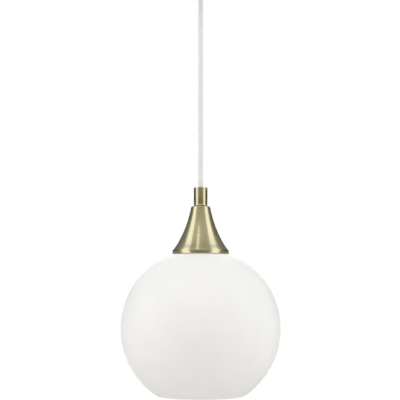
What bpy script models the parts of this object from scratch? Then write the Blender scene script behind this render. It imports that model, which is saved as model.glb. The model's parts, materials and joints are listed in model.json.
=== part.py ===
"""Pendant ceiling light: opal glass globe, trumpet-shaped brass cap, round cord and ceiling cup.

Metres, +Z up. The origin is the centre of the ceiling strap's top face, and the lamp hangs below it.
Heights of the ceiling end are below the ceiling; heights of the lamp are above the globe's centre.
"""

import math

import bmesh
import bpy
from mathutils import Matrix, Vector

# ---------------------------------------------------------------- driving dimensions
GAP = 0.0003                     # clearance between pieces that rest on each other

GLOBE_CENTRE_Z = -0.476
GLOBE_RADIUS = 0.100
GLASS = 0.003
GLOBE_SEAT_Z = 0.0920            # flat ground seat on top of the globe
GLOBE_MOUTH_Z = -0.0835          # plane of the straight-cut mouth
GLOBE_HOLE_R = 0.0212

CAP_TOP_Z = 0.1539
CAP_NECK_R = 0.0125              # where the shoulder meets the flare
CAP_NECK_Z = 0.1506
CAP_FLARE_Z = 0.0980             # where the flare rounds over into the lip
CAP_FLARE_GAIN = 0.0093
CAP_FLARE_BEND = 1.245
CAP_LIP_R = 0.0360
CAP_LIP_Z = 0.0924
CAP_WALL = 0.0010

COLLAR_R = 0.00875
COLLAR_TOP_Z = 0.1768
COLLAR_STEP_Z = 0.1672           # cord bore above, threaded bore below
COLLAR_GROOVE_Z = 0.1584
COLLAR_SCREW_Z = 0.1722
CORD_R = 0.0030
CORE_R = 0.00095
CORE_RING_R = 0.00145            # the three cores' distance from the cord's axis

OUTLET_Z = -0.0520               # lower face of the cord outlet at the ceiling
OUTLET_R = 0.0060
OUTLET_SCREW_Z = -0.0450
CUP_R = 0.0500
CUP_DEPTH = 0.0380
CUP_SHOULDER_R = 0.0140
CUP_WALL = 0.0010
STRAP_HALF = 0.0470
STRAP_WIDTH = 0.0200
STRAP_THICK = 0.0020
STRAP_TAB_DROP = 0.0160
SIDE_SCREW_Z = -0.0090
STRAP_SLOT_X = 0.0300            # the two slots for the ceiling's own screws
EARTH_SCREW_X = -0.0195

THREAD_R = 0.00485               # M10 x 1 nipple and outlet spigot
THREAD_HOLE_R = 0.00520
FLEX_LENGTH = 0.0120             # the stretch of cord that bends below the outlet
BEND_GAP = CORD_R + GAP          # a round cord end turns about a point this far below its neighbour

SKIRT_R = 0.0194                 # lampholder
SKIRT_WALL = 0.0018
SKIRT_BOTTOM_Z = 0.0740
SKIRT_TOP_Z = 0.1187
SKIRT_SHOULDER_R = 0.0240        # the shoulder that the glass hangs against
SKIRT_SHOULDER_Z = 0.0950
DOME_TOP_Z = 0.1465
SHELL_R = 0.01395                # lampholder's thread shell, outside
TERMINAL_X = 0.0085
RING_BORE_R = 0.0201
RING_TOP_Z = 0.0861
RING_BOTTOM_Z = 0.0750
RING_FLANGE_R = 0.0265
RING_BODY_R = 0.0236
RING_LOBES = 12

BULB_TIP_Z = 0.1026
BULB_GLASS_R = 0.0300
BULB_BOTTOM_Z = -0.0055
BULB_NECK_Z = 0.0765             # where the glass enters the screw cap
BULB_WIDE_Z = 0.0245
BULB_CAP_TOP_Z = 0.0972

ROUND = 40                       # sides of the large turned pieces
SMALL = 16                       # sides of the small ones
TINY = 12

# ---------------------------------------------------------------- materials: colour, metallic, roughness
FINISHES = {
    "antique_brass": ((0.43, 0.36, 0.20), 1.0, 0.30),
    "contact_brass": ((0.72, 0.55, 0.25), 1.0, 0.35),
    "plated_steel": ((0.62, 0.63, 0.64), 1.0, 0.40),
    "opal_glass": ((0.90, 0.89, 0.87), 0.0, 0.25),
    "bulb_glass": ((0.93, 0.93, 0.91), 0.0, 0.35),
    "white_sheath": ((0.86, 0.86, 0.85), 0.0, 0.45),
    "core_brown": ((0.20, 0.09, 0.04), 0.0, 0.45),
    "core_blue": ((0.05, 0.17, 0.45), 0.0, 0.45),
    "core_green": ((0.25, 0.45, 0.06), 0.0, 0.45),
    "white_moulding": ((0.88, 0.88, 0.86), 0.0, 0.35),
    "ceramic": ((0.85, 0.83, 0.78), 0.0, 0.30),
    "silicone": ((0.80, 0.80, 0.78), 0.0, 0.60),
    "cap_aluminium": ((0.75, 0.75, 0.74), 1.0, 0.30),
    "black_glass": ((0.03, 0.03, 0.04), 0.0, 0.15),
}


def make_finish(name):
    colour, metallic, roughness = FINISHES[name]
    finish = bpy.data.materials.new(name)
    finish.use_nodes = True
    shader = finish.node_tree.nodes["Principled BSDF"]
    shader.inputs["Base Color"].default_value = (*colour, 1.0)
    shader.inputs["Metallic"].default_value = metallic
    shader.inputs["Roughness"].default_value = roughness
    finish.diffuse_color = (*colour, 1.0)
    return finish


# ---------------------------------------------------------------- helpers
def clear_scene():
    for old in list(bpy.data.objects):
        bpy.data.objects.remove(old, do_unlink=True)


def empty(name, z, parent=None):
    """A parent empty on the axis, `z` above the ceiling plane."""
    holder = bpy.data.objects.new(name, None)
    holder.empty_display_size = 0.01
    bpy.context.scene.collection.objects.link(holder)
    if parent is not None:
        holder.parent = parent
        z -= parent.matrix_world.translation.z
    holder.location = (0.0, 0.0, z)
    bpy.context.view_layer.update()
    return holder


def add_object(name, data, finish, parent):
    piece = bpy.data.objects.new(name, data)
    bpy.context.scene.collection.objects.link(piece)
    piece.parent = parent
    piece.data.materials.append(bpy.data.materials[finish])
    return piece


def add_mesh(name, mesh_builder, finish, parent, sharp_deg=35.0):
    bmesh.ops.recalc_face_normals(mesh_builder, faces=mesh_builder.faces)
    mesh = bpy.data.meshes.new(name)
    mesh_builder.to_mesh(mesh)
    mesh_builder.free()
    mesh.shade_smooth()
    mesh.set_sharp_from_angle(angle=math.radians(sharp_deg))
    return add_object(name, mesh, finish, parent)


def arc(centre_r, centre_z, radius, start_deg, end_deg, steps):
    """Profile points (r, z) along an arc, both ends included."""
    points = []
    for i in range(steps + 1):
        angle = math.radians(start_deg + (end_deg - start_deg) * i / steps)
        points.append((centre_r + radius * math.cos(angle), centre_z + radius * math.sin(angle)))
    return points


def turned(profile, sides, ripple=None):
    """A closed solid of revolution about Z from a closed (r, z) outline; points at r = 0 become poles.

    ripple(angle, r, z) may give the radius at that angle, for lobes and knurls.
    """
    builder = bmesh.new()
    rings = []
    for r, z in profile:
        if r < 1e-7:
            rings.append([builder.verts.new((0.0, 0.0, z))])
            continue
        ring = []
        for k in range(sides):
            angle = 2.0 * math.pi * k / sides
            radius = ripple(angle, r, z) if ripple else r
            ring.append(builder.verts.new((radius * math.cos(angle), radius * math.sin(angle), z)))
        rings.append(ring)
    for i, ring in enumerate(rings):
        following = rings[(i + 1) % len(rings)]
        for k in range(sides):
            n = (k + 1) % sides
            if len(ring) == 1 and len(following) == 1:
                continue
            if len(ring) == 1:
                builder.faces.new((ring[0], following[k], following[n]))
            elif len(following) == 1:
                builder.faces.new((ring[k], following[0], ring[n]))
            else:
                builder.faces.new((ring[k], following[k], following[n], ring[n]))
    return builder


def pipe_profile(outer, inner, bottom, top, chamfer=0.0):
    """Outline of a straight pipe, with its outer edges chamfered."""
    return [
        (inner, top),
        (outer - chamfer, top),
        (outer, top - chamfer),
        (outer, bottom + chamfer),
        (outer - chamfer, bottom),
        (inner, bottom),
    ] if chamfer else [(inner, top), (outer, top), (outer, bottom), (inner, bottom)]


def extruded(outline, low, high, axis="Y"):
    """A closed prism: the outline's two numbers are the other two axes in X, Y, Z order."""
    builder = bmesh.new()

    def corner(a, b, c):
        if axis == "X":
            return (c, a, b)
        if axis == "Y":
            return (a, c, b)
        return (a, b, c)

    first = [builder.verts.new(corner(a, b, low)) for a, b in outline]
    last = [builder.verts.new(corner(a, b, high)) for a, b in outline]
    builder.faces.new(first)
    builder.faces.new(last[::-1])
    count = len(outline)
    for i in range(count):
        j = (i + 1) % count
        builder.faces.new((first[i], first[j], last[j], last[i]))
    return builder


def block_outline(a_low, a_high, b_low, b_high):
    return [(a_low, b_low), (a_high, b_low), (a_high, b_high), (a_low, b_high)]


def polygon(radius, sides, turn_deg=0.0):
    return [
        (
            radius * math.cos(math.radians(turn_deg) + 2 * math.pi * k / sides),
            radius * math.sin(math.radians(turn_deg) + 2 * math.pi * k / sides),
        )
        for k in range(sides)
    ]


def slot_outline(half_length, radius, x):
    """A slot along X with round ends, centred on (x, 0)."""
    right = arc(x + half_length, 0.0, radius, -90.0, 90.0, 8)
    left = arc(x - half_length, 0.0, radius, 90.0, 270.0, 8)
    return right + left


def cut(piece, builder, name):
    """Cuts a hole: a hidden cutter and an exact Boolean that stays on the piece."""
    cutter = add_mesh(name, builder, "plated_steel", piece.parent)
    cutter.hide_render = True
    cutter.display_type = "WIRE"
    boolean = piece.modifiers.new(name, "BOOLEAN")
    boolean.operation = "DIFFERENCE"
    boolean.solver = "EXACT"
    boolean.object = cutter
    return cutter


def moved(builder, matrix):
    bmesh.ops.transform(builder, matrix=matrix, verts=builder.verts)
    return builder


def along(direction, place):
    """Turns a piece made on +Z to point in `direction` from `place`."""
    turn = Vector(direction).to_track_quat("Z", "Y").to_matrix().to_4x4()
    return Matrix.Translation(Vector(place)) @ turn


def smooth_route(knots, spacing):
    """Points about `spacing` apart on a Catmull-Rom curve through the knots."""
    knots = [Vector(k) for k in knots]
    padded = [2 * knots[0] - knots[1], *knots, 2 * knots[-1] - knots[-2]]
    points = [knots[0]]
    for a, b, c, d in zip(padded, padded[1:], padded[2:], padded[3:]):
        steps = max(1, round((c - b).length / spacing))
        for i in range(1, steps + 1):
            t = i / steps
            points.append(
                0.5
                * (
                    2 * b
                    + (c - a) * t
                    + (2 * a - 5 * b + 4 * c - d) * t * t
                    + (3 * b - a - 3 * c + d) * t * t * t
                )
            )
    return points


def tube(name, points, radius, finish, parent, sides=2, end_taper=()):
    """A round cord along the points; end_taper gives the first points' share of the radius."""
    curve = bpy.data.curves.new(name, "CURVE")
    curve.dimensions = "3D"
    curve.bevel_depth = radius
    curve.bevel_resolution = sides
    curve.use_fill_caps = True
    spline = curve.splines.new("POLY")
    spline.points.add(len(points) - 1)
    for i, (target, place) in enumerate(zip(spline.points, points)):
        target.co = (*place, 1.0)
        target.radius = end_taper[i] if i < len(end_taper) else 1.0
    return add_object(name, curve, finish, parent)


def slotted_screw(name, head_r, head_h, shank_r, shank_l, direction, place, finish, parent):
    """A screw with a domed, slotted head whose shank points along `direction` from `place`."""
    profile = [
        (0.0, -head_h),
        (0.55 * head_r, -head_h),
        (0.88 * head_r, -0.72 * head_h),
        (head_r, -0.35 * head_h),
        (head_r, 0.0),
        (shank_r, 0.0),
        (shank_r, shank_l - 0.3 * shank_r),
        (0.7 * shank_r, shank_l),
        (0.0, shank_l),
    ]
    screw = add_mesh(name, moved(turned(profile, SMALL), along(direction, place)), finish, parent)
    half_width = 0.11 * head_r
    outline = block_outline(-1.2 * head_r, 1.2 * head_r, -half_width, half_width)
    slot = extruded(outline, -1.5 * head_h, -0.6 * head_h, "Z")
    cut(screw, moved(slot, along(direction, place)), name + "_slot")
    return screw


def headless_screw(name, radius, length, direction, place, finish, parent):
    """A grub screw: a plain pin with a driver slot in its outer end, at `place`."""
    profile = [
        (0.0, 0.0),
        (0.85 * radius, 0.0),
        (radius, 0.15 * radius),
        (radius, length - 0.35 * radius),
        (0.65 * radius, length),
        (0.0, length),
    ]
    screw = add_mesh(name, moved(turned(profile, TINY), along(direction, place)), finish, parent)
    outline = block_outline(-1.2 * radius, 1.2 * radius, -0.2 * radius, 0.2 * radius)
    slot = extruded(outline, -0.5 * radius, 0.45 * radius, "Z")
    cut(screw, moved(slot, along(direction, place)), name + "_slot")
    return screw


def hex_nut(name, across_flats, bore_r, bottom, top, finish, parent):
    corner_r = across_flats / 2 / math.cos(math.radians(30.0))
    nut = add_mesh(name, extruded(polygon(corner_r, 6, 30.0), bottom, top, "Z"), finish, parent)
    bore = turned([(0.0, top + 0.001), (bore_r, top + 0.001), (bore_r, bottom - 0.001),
                   (0.0, bottom - 0.001)], SMALL)
    cut(nut, bore, name + "_bore")
    return nut


def round_hole(piece, name, radius, start, end, sides=TINY):
    """Drills a round hole from `start` to `end`, in the piece's parent's frame."""
    start, end = Vector(start), Vector(end)
    length = (end - start).length
    pin = turned([(0.0, 0.0), (radius, 0.0), (radius, length), (0.0, length)], sides)
    cut(piece, moved(pin, along(end - start, start)), name)


# ---------------------------------------------------------------- ceiling end
def make_ceiling_bracket(parent):
    end, tab_drop = STRAP_HALF, STRAP_TAB_DROP
    inside = end - STRAP_THICK
    outline = [(-end, 0.0), (end, 0.0), (end, -tab_drop), (inside, -tab_drop), (inside, -STRAP_THICK),
               (-inside, -STRAP_THICK), (-inside, -tab_drop), (-end, -tab_drop)]
    builder = extruded(outline, -STRAP_WIDTH / 2, STRAP_WIDTH / 2, "Y")
    strap = add_mesh("ceiling_bracket", builder, "plated_steel", parent)
    for side, x in (("left", -STRAP_SLOT_X), ("right", STRAP_SLOT_X)):
        slot = extruded(slot_outline(0.004, 0.0025, x), -0.004, 0.002, "Z")
        cut(strap, slot, "ceiling_slot_" + side)
    for side, sign in (("left", -1), ("right", 1)):
        round_hole(strap, "side_hole_" + side, 0.00205, (sign * 0.040, 0, SIDE_SCREW_Z),
                   (sign * 0.050, 0, SIDE_SCREW_Z))
    round_hole(strap, "block_hole", 0.0017, (0.0045, 0, -0.004), (0.0045, 0, 0.002))
    round_hole(strap, "earth_hole", 0.0020, (EARTH_SCREW_X, 0, -0.004), (EARTH_SCREW_X, 0, 0.002))
    return strap


def make_ceiling_cup(parent):
    rim = -0.0004
    flat_r = CUP_R - CUP_SHOULDER_R
    bend_z = -CUP_DEPTH + CUP_SHOULDER_R
    inner_bend = CUP_SHOULDER_R - CUP_WALL
    outside = [(CUP_R, rim)] + arc(flat_r, bend_z, CUP_SHOULDER_R, 0.0, -90.0, 4)
    inside = arc(flat_r, bend_z, inner_bend, -90.0, 0.0, 4) + [(CUP_R - CUP_WALL, rim)]
    bottom = [(THREAD_HOLE_R, -CUP_DEPTH), (THREAD_HOLE_R, -CUP_DEPTH + CUP_WALL)]
    cup = add_mesh("ceiling_cup", turned(outside + bottom + inside, ROUND), "antique_brass", parent)
    for side, sign in (("left", -1), ("right", 1)):
        round_hole(cup, "cup_hole_" + side, 0.0023, (sign * 0.0485, 0, SIDE_SCREW_Z),
                   (sign * 0.0520, 0, SIDE_SCREW_Z))
        slotted_screw("cup_screw_" + side, 0.0042, 0.0026, 0.0017, 0.0085, (-sign, 0, 0),
                      (sign * (CUP_R + GAP), 0, SIDE_SCREW_Z), "antique_brass", parent)
    return cup


BLOCK_HALF_X = 0.0145
BLOCK_HALF_Y = 0.0090
BLOCK_TOP_Z = -STRAP_THICK - GAP
BLOCK_BOTTOM_Z = -0.0143
WIRE_HOLE_Z = -0.0085
POLES = (("live", -0.009), ("neutral", 0.009), ("earth", 0.0))


def make_terminal_block(parent):
    """A three-pole block: wire holes along Y, screw wells from below."""
    outline = block_outline(-BLOCK_HALF_X, BLOCK_HALF_X, -BLOCK_HALF_Y, BLOCK_HALF_Y)
    block = add_mesh("terminal_block", extruded(outline, BLOCK_BOTTOM_Z, BLOCK_TOP_Z, "Z"),
                     "white_moulding", parent)
    for pole, x in POLES:
        round_hole(block, "wire_hole_" + pole, 0.0017, (x, -0.012, WIRE_HOLE_Z),
                   (x, 0.012, WIRE_HOLE_Z))
        for side, y in (("in", 0.0048), ("out", -0.0048)):
            round_hole(block, "well_" + pole + side, 0.0020, (x, y, BLOCK_BOTTOM_Z - 0.002),
                       (x, y, WIRE_HOLE_Z))
            headless_screw("block_screw_" + pole + "_" + side, 0.0016, 0.0034, (0, 0, 1),
                           (x, y, BLOCK_BOTTOM_Z + 0.0008), "contact_brass", parent)
    round_hole(block, "fixing_hole", 0.0017, (0.0045, 0, BLOCK_BOTTOM_Z - 0.002), (0.0045, 0, 0.0))
    slotted_screw("block_fixing_screw", 0.0026, 0.0018, 0.0014, 0.0138, (0, 0, 1),
                  (0.0045, 0, BLOCK_BOTTOM_Z - GAP), "plated_steel", parent)
    return block


def make_bracket_earth(parent):
    slotted_screw("bracket_earth_screw", 0.0036, 0.0022, 0.0017, 0.0030, (0, 0, 1),
                  (EARTH_SCREW_X, 0, -0.0036), "contact_brass", parent)
    knots = [(0.0, 0.0035, WIRE_HOLE_Z), (0.0, 0.0100, WIRE_HOLE_Z), (-0.0040, 0.0145, -0.0080),
             (-0.0120, 0.0150, -0.0060), (-0.0190, 0.0115, -0.0045), (-0.0205, 0.0070, -0.0036),
             (-0.0205, 0.0040, -0.0033)]
    tube("bracket_earth_lead", smooth_route(knots, 0.003), CORE_R, "core_green", parent)


def make_cord_grip(parent):
    """The outlet under the cup: a short barrel with a spigot through the cup and a grub screw."""
    barrel_r, bore_r = OUTLET_R, CORD_R + GAP
    top = -CUP_DEPTH - GAP
    spigot_top = -0.0280
    profile = [(bore_r, spigot_top), (THREAD_R, spigot_top), (THREAD_R, top), (barrel_r, top),
               (barrel_r, OUTLET_Z + 0.0012)]
    profile += arc(barrel_r - 0.0012, OUTLET_Z + 0.0012, 0.0012, -30.0, -90.0, 2)
    profile += [(bore_r, OUTLET_Z)]
    grip = add_mesh("cord_grip", turned(profile, SMALL), "antique_brass", parent)
    round_hole(grip, "grip_screw_hole", 0.0017, (0, 0.0005, OUTLET_SCREW_Z), (0, 0.0080, OUTLET_SCREW_Z))
    headless_screw("cord_grip_screw", 0.0014, 0.0024, (0, -1, 0), (0, OUTLET_R - GAP, OUTLET_SCREW_Z),
                   "antique_brass", parent)
    hex_nut("cord_grip_nut", 0.014, THREAD_HOLE_R, -0.0367, -0.0337, "plated_steel", parent)


def make_upper_tail(parent):
    """The sheath inside the outlet, and its three cores up to the terminal block."""
    start, end = OUTLET_Z + 0.0002, -0.0260
    places = [(0, 0, start + (end - start) * i / 3) for i in range(4)]
    tube("cord_upper_tail", places, CORD_R, "white_sheath", parent, sides=3)
    for (pole, x), finish, turn in zip(POLES, ("core_brown", "core_blue", "core_green"),
                                       (210.0, 330.0, 90.0)):
        x0 = CORE_RING_R * math.cos(math.radians(turn))
        y0 = CORE_RING_R * math.sin(math.radians(turn))
        knots = [(x0, y0, end + GAP), (x0, y0, end + 0.0030), (0.45 * x + x0, -0.0085, -0.0195),
                 (0.85 * x, -0.0150, -0.0155), (x, -0.0165, -0.0110), (x, -0.0125, WIRE_HOLE_Z),
                 (x, -0.0085, WIRE_HOLE_Z), (x, -0.0030, WIRE_HOLE_Z)]
        if pole == "earth":
            knots[2] = (x0, -0.0070, -0.0165)
        tube("upper_core_" + pole, smooth_route(knots, 0.004), CORE_R, finish, parent)


# ---------------------------------------------------------------- cord
def round_end(top, length_down, radius):
    """Points down Z from `top` and their radius shares, so that the upper end is a half ball."""
    places, shares = [], []
    for step in (0.0, 0.15, 0.45, 0.75, 1.0):
        places.append((0.0, 0.0, top - step * radius))
        shares.append(max(0.22, math.sqrt(max(0.0, 1.0 - (1.0 - step) ** 2))))
    steps = max(1, round((length_down - radius) / (6.0 * radius)))
    for i in range(1, steps + 1):
        places.append((0.0, 0.0, top - radius - (length_down - radius) * i / steps))
    return places, shares


def make_cord(link_pivot, cord_pivot):
    """Two stretches of one cord; each has a round upper end centred on its own pivot."""
    places, shares = round_end(CORD_R, FLEX_LENGTH + CORD_R, CORD_R)
    tube("cord_flex_link", places, CORD_R, "white_sheath", link_pivot, sides=3, end_taper=shares)
    bottom = GLOBE_CENTRE_Z + COLLAR_TOP_Z + GAP
    length = cord_pivot.matrix_world.translation.z - bottom
    places, shares = round_end(CORD_R, length + CORD_R, CORD_R)
    tube("suspension_cord", places, CORD_R, "white_sheath", cord_pivot, sides=3, end_taper=shares)


# ---------------------------------------------------------------- lamp: metalwork
def flare_radius(z):
    """The trumpet's outside radius at a height between its neck and its lip."""
    t = (CAP_NECK_Z - z) / (CAP_NECK_Z - CAP_FLARE_Z)
    return CAP_NECK_R + CAP_FLARE_GAIN * (math.exp(CAP_FLARE_BEND * t) - 1.0)


def make_collar(parent):
    """The tube over the cap: cord bore above, threaded bore below, a fine groove near its foot."""
    foot, groove, step = CAP_TOP_Z + GAP, COLLAR_GROOVE_Z, COLLAR_STEP_Z
    profile = [(CORD_R + GAP, COLLAR_TOP_Z), (COLLAR_R - 0.0007, COLLAR_TOP_Z),
               (COLLAR_R, COLLAR_TOP_Z - 0.0007), (COLLAR_R, groove + 0.0003),
               (COLLAR_R - 0.0003, groove), (COLLAR_R, groove - 0.0003),
               (COLLAR_R, foot + 0.0010), (COLLAR_R + 0.0005, foot),
               (THREAD_HOLE_R, foot), (THREAD_HOLE_R, step), (CORD_R + GAP, step)]
    collar = add_mesh("cord_collar", turned(profile, SMALL + 4), "antique_brass", parent)
    round_hole(collar, "collar_screw_hole", 0.0017, (0, 0.0010, COLLAR_SCREW_Z),
               (0, 0.0110, COLLAR_SCREW_Z))
    headless_screw("collar_screw", 0.0014, 0.0048, (0, -1, 0), (0, COLLAR_R - 0.0004, COLLAR_SCREW_Z),
                   "antique_brass", parent)


def make_trumpet_cap(parent):
    steps = 7
    heights = [CAP_NECK_Z + (CAP_FLARE_Z - CAP_NECK_Z) * i / steps for i in range(1, steps + 1)]
    shoulder = CAP_TOP_Z - CAP_NECK_Z
    outside = arc(CAP_NECK_R - shoulder, CAP_NECK_Z, shoulder, 90.0, 0.0, 3)
    outside += [(flare_radius(z), z) for z in heights]
    outside += [(CAP_LIP_R - 0.0002, 0.0968), (CAP_LIP_R, 0.0955), (CAP_LIP_R, CAP_LIP_Z)]
    inside = [(CAP_LIP_R - CAP_WALL, CAP_LIP_Z), (CAP_LIP_R - CAP_WALL, 0.0958)]
    inside += [(flare_radius(z) - CAP_WALL, z) for z in reversed(heights)]
    inside += [(CAP_NECK_R - CAP_WALL, CAP_TOP_Z - 0.0015), (THREAD_HOLE_R, CAP_TOP_Z - 0.0015)]
    profile = [(THREAD_HOLE_R, CAP_TOP_Z)] + outside + inside
    add_mesh("trumpet_cap", turned(profile, ROUND), "antique_brass", parent, 25.0)


NIPPLE_BOTTOM_Z = 0.1360


def make_nipple_stack(parent):
    """Threaded nipple, spring washer and nut that clamp collar, cap and lampholder."""
    nipple = pipe_profile(THREAD_R, 0.00345, NIPPLE_BOTTOM_Z, 0.1665, 0.0004)
    add_mesh("threaded_nipple", turned(nipple, SMALL), "plated_steel", parent)
    washer = add_mesh("lock_washer", turned(pipe_profile(0.0080, THREAD_HOLE_R, 0.1508, 0.1521), SMALL),
                      "plated_steel", parent)
    gap = extruded(block_outline(0.004, 0.010, -0.0004, 0.0004), 0.149, 0.154, "Z")
    cut(washer, gap, "washer_gap")
    hex_nut("nipple_nut", 0.014, THREAD_HOLE_R, 0.1470, 0.1505, "plated_steel", parent)


# ---------------------------------------------------------------- lamp: wiring and lampholder
TAIL_END_Z = 0.1310


def make_lower_tail(parent):
    """The sheath from the collar into the lampholder, and its three cores."""
    top = COLLAR_TOP_Z - 0.0002
    places = [(0, 0, top + (TAIL_END_Z - top) * i / 4) for i in range(5)]
    tube("cord_lower_tail", places, CORD_R, "white_sheath", parent, sides=3)
    for pole, finish, turn, sign in (("live", "core_brown", 0.0, 1), ("neutral", "core_blue", 180.0, -1)):
        x0 = CORE_RING_R * math.cos(math.radians(turn))
        knots = [(x0, -0.0006, TAIL_END_Z - GAP), (x0, -0.0006, TAIL_END_Z - 0.0020),
                 (sign * 0.0060, 0.0, TAIL_END_Z - 0.0040),
                 (sign * TERMINAL_X, 0.0, TAIL_END_Z - 0.0070), (sign * TERMINAL_X, 0.0, 0.1195)]
        tube("lower_core_" + pole, smooth_route(knots, 0.003), CORE_R, finish, parent)
    knots = [(0.0, 0.0017, TAIL_END_Z - GAP), (0.0, 0.0017, TAIL_END_Z - 0.0018),
             (0.0, 0.0042, TAIL_END_Z - 0.0026), (0.0, 0.0068, TAIL_END_Z - 0.0006),
             (0.0, 0.0079, TAIL_END_Z + 0.0006)]
    tube("lower_core_earth", smooth_route(knots, 0.0025), CORE_R, "core_green", parent)


def make_lampholder(parent):
    """Metal dome with earth terminal, threaded skirt with a shoulder, and the ceramic inner part."""
    roof = 0.1345
    outside = [(THREAD_HOLE_R, DOME_TOP_Z), (0.0095, DOME_TOP_Z), (0.0118, DOME_TOP_Z - 0.0025),
               (0.0145, roof), (0.0168, 0.1275), (SKIRT_R, 0.1210), (SKIRT_R, SKIRT_TOP_Z + GAP)]
    inside = [(SKIRT_R - SKIRT_WALL, SKIRT_TOP_Z + GAP), (SKIRT_R - SKIRT_WALL, 0.1205),
              (0.0150, 0.1270), (0.0132, roof), (THREAD_HOLE_R, roof)]
    dome = add_mesh("holder_dome", turned(outside + inside, SMALL + 4), "plated_steel", parent)
    round_hole(dome, "earth_boss_hole", 0.0015, (0, 0.0100, roof - 0.002), (0, 0.0100, 0.1400))
    slotted_screw("dome_earth_screw", 0.0021, 0.0016, 0.0012, 0.0085, (0, 0, 1), (0, 0.0100, 0.1300),
                  "contact_brass", parent)

    inner = SKIRT_R - SKIRT_WALL
    shoulder_r, shoulder_low, shoulder_high = SKIRT_SHOULDER_R, SKIRT_SHOULDER_Z, 0.0975
    profile = [(inner, SKIRT_TOP_Z), (SKIRT_R, SKIRT_TOP_Z), (SKIRT_R, shoulder_high),
               (shoulder_r, shoulder_high), (shoulder_r, shoulder_low), (SKIRT_R, shoulder_low),
               (SKIRT_R, SKIRT_BOTTOM_Z + 0.0008), (SKIRT_R - 0.0006, SKIRT_BOTTOM_Z),
               (inner - 0.0010, SKIRT_BOTTOM_Z), (inner - 0.0010, SKIRT_BOTTOM_Z + 0.0020),
               (inner, SKIRT_BOTTOM_Z + 0.0024)]
    add_mesh("holder_skirt", turned(profile, ROUND), "white_moulding", parent)

    liner_out, liner_in, floor = inner - GAP, SHELL_R + GAP, 0.1050
    block_top = 0.1160
    profile = [(0.0, block_top), (liner_out, block_top), (liner_out, 0.0770), (liner_in, 0.0770),
               (liner_in, floor), (0.0, floor)]
    block = add_mesh("contact_block", turned(profile, SMALL), "ceramic", parent)
    for side, sign in (("live", 1), ("neutral", -1)):
        slot = extruded(block_outline(*sorted((sign * 0.0075, sign * 0.0095)), -0.0026, 0.0026),
                        floor - 0.001, block_top + 0.001, "Z")
        cut(block, slot, "contact_slot_" + side)
    shell = pipe_profile(SHELL_R, SHELL_R - 0.0004, 0.0790, 0.1035)
    add_mesh("thread_shell", turned(shell, SMALL), "contact_brass", parent)


def make_contacts(parent):
    """Sprung strips that rise through the ceramic to a brass terminal each."""
    leg_in, leg_out, top = 0.0080, 0.0090, 0.1163
    centre = [(leg_out, top), (leg_in, top), (leg_in, 0.1047), (-0.0035, 0.1040), (-0.0035, 0.1034),
              (0.0030, 0.1034), (leg_out, 0.1040)]
    add_mesh("centre_contact", extruded(centre, -0.0020, 0.0020, "Y"), "contact_brass", parent)
    side = [(-leg_out, top), (-leg_in, top), (-leg_in, 0.1040), (-0.0138, 0.1040), (-0.0138, 0.1047),
            (-leg_out, 0.1047)]
    add_mesh("side_contact", extruded(side, -0.0020, 0.0020, "Y"), "contact_brass", parent)
    for pole, sign in (("live", 1), ("neutral", -1)):
        low, high = sorted((sign * 0.0057, sign * 0.0117))
        outline = block_outline(low, high, -0.0030, 0.0030)
        terminal = add_mesh(pole + "_terminal", extruded(outline, top + GAP, 0.1222, "Z"),
                            "contact_brass", parent)
        round_hole(terminal, pole + "_wire_hole", 0.0013, (sign * TERMINAL_X, 0, 0.1185),
                   (sign * TERMINAL_X, 0, 0.1240))
        round_hole(terminal, pole + "_screw_hole", 0.0012, (sign * TERMINAL_X, 0, 0.1203),
                   (sign * 0.0140, 0, 0.1203))
        slotted_screw(pole + "_terminal_screw", 0.0015, 0.0010, 0.0009, 0.0021, (-sign, 0, 0),
                      (sign * 0.0120, 0, 0.1203), "plated_steel", parent)


# ---------------------------------------------------------------- shade
def make_upper_washer(parent):
    washer = pipe_profile(0.0240, RING_BORE_R - 0.0002, GLOBE_SEAT_Z + GAP, 0.0947)
    add_mesh("upper_washer", turned(washer, SMALL), "silicone", parent)


def make_globe(parent):
    """Opal globe: spherical wall, flat seat with a hole on top, straight-cut mouth below."""
    inner_r = GLOBE_RADIUS - GLASS
    under_seat = GLOBE_SEAT_Z - 0.0035
    seat_deg = math.degrees(math.asin(GLOBE_SEAT_Z / GLOBE_RADIUS))
    mouth_deg = math.degrees(math.asin(GLOBE_MOUTH_Z / GLOBE_RADIUS))
    in_seat_deg = math.degrees(math.asin(under_seat / inner_r))
    in_mouth_deg = math.degrees(math.asin(GLOBE_MOUTH_Z / inner_r))
    outside = arc(0.0, 0.0, GLOBE_RADIUS, seat_deg, mouth_deg, 12)
    inside = arc(0.0, 0.0, inner_r, in_mouth_deg, in_seat_deg, 9)
    hole = [(GLOBE_HOLE_R, under_seat), (GLOBE_HOLE_R, GLOBE_SEAT_Z)]
    add_mesh("glass_globe", turned(outside + inside + hole, ROUND), "opal_glass", parent, 30.0)
    washer = pipe_profile(0.0252, RING_BORE_R, 0.0864, under_seat - GAP)
    add_mesh("lower_washer", turned(washer, SMALL), "silicone", parent)


def make_shade_ring(parent):
    """Ring with a flange against the washer and finger lobes below."""
    flange_low, top, bottom = 0.0838, RING_TOP_Z, RING_BOTTOM_Z
    lobes, lobe_depth, body_r = RING_LOBES, 0.0007, RING_BODY_R

    def lobed(angle, r, z):
        if body_r - 0.0015 < r < body_r + 0.0015:
            return r - lobe_depth * (1.0 - math.cos(lobes * angle)) / 2.0
        return r

    profile = [(RING_BORE_R, top), (RING_FLANGE_R, top), (RING_FLANGE_R, flange_low + 0.0004),
               (RING_FLANGE_R - 0.0004, flange_low), (body_r, flange_low), (body_r, bottom + 0.0008),
               (body_r - 0.0008, bottom), (RING_BORE_R, bottom)]
    add_mesh("shade_ring", turned(profile, 4 * lobes, lobed), "white_moulding", parent)


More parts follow.
